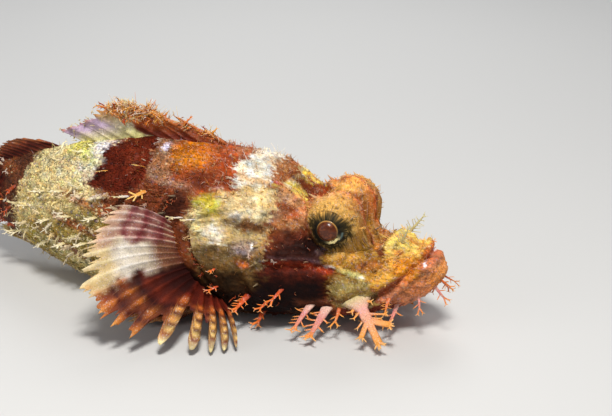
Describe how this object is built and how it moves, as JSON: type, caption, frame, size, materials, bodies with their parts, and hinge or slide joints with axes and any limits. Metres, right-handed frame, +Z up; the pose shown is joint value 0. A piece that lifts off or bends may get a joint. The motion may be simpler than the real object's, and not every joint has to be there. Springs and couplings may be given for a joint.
{
  "type": "scorpionfish",
  "caption": "Scorpionfish lying on its belly with spread breast fins and its tail bent aside, a still life-size model.",
  "frame": {"origin": "centre of the whole fish's box, on the floor that it lies on", "axes": "+X towards the head, +Y to the fish's left, +Z up"},
  "size_m": [0.1916, 0.1016, 0.0579],
  "materials": {
    "head_skin": "rough encrusted skin, golden on the snout, orange on the crown and near black red on the cheek",
    "body_skin": "rough scaly skin, orange and maroon on the shoulder, cream and yellow mottling further back",
    "fin": "thin membrane with raised rays, banded red brown, cream and pink",
    "eye": "glossy, dark green iris ring round a red brown pupil"
  },
  "bodies": {
    "root": {"head": "head_skin", "lower_jaw": "head_skin", "gill_cover_left": "head_skin", "gill_cover_right": "head_skin", "eye_left": "eye", "eye_right": "eye", "trunk": "body_skin", "tail_stalk": "body_skin", "dorsal_fin_spiny": "fin", "dorsal_fin_soft": "fin", "anal_fin": "fin", "caudal_fin": "fin", "pectoral_fin_left": "fin", "pectoral_fin_right": "fin", "pelvic_fin_left": "fin", "pelvic_fin_right": "fin"}
  },
  "joints": []
}
